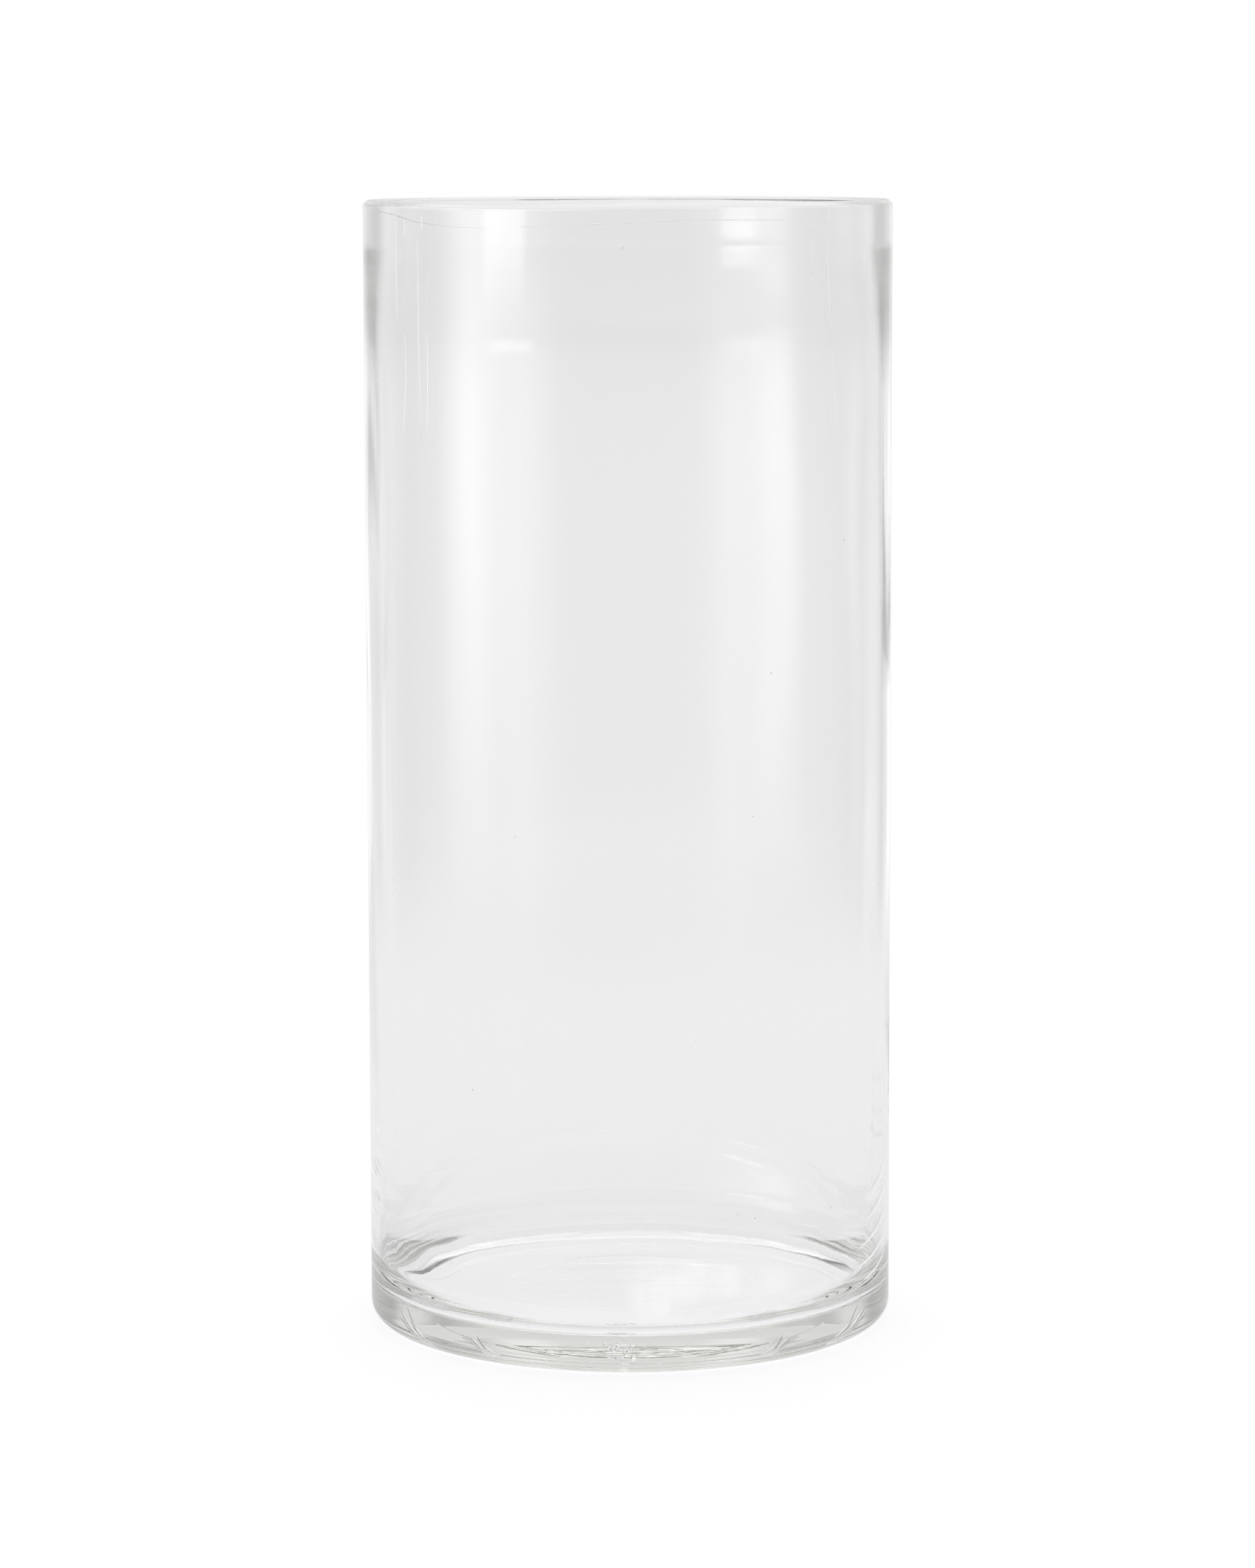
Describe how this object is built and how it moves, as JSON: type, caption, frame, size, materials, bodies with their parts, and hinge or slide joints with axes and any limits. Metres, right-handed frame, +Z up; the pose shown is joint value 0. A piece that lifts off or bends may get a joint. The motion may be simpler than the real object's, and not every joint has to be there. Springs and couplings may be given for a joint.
{
  "type": "glass cylinder vase",
  "caption": "Tall straight-sided clear glass cylinder vase with a thick flat base, rounded heel, soft inner corner and cut, bevelled rim.",
  "frame": {"origin": "centre of the resting plane, on the vase's axis", "axes": "+Z up along the vase's axis, from the base to the open mouth; X and Y are free, because the vase is round"},
  "size_m": [0.14, 0.14, 0.3],
  "materials": {
    "clear_glass": "clear, smooth blown glass with a faint green-grey tint in the thick base"
  },
  "bodies": {
    "root": {"glass_vase": "clear_glass"}
  },
  "joints": []
}
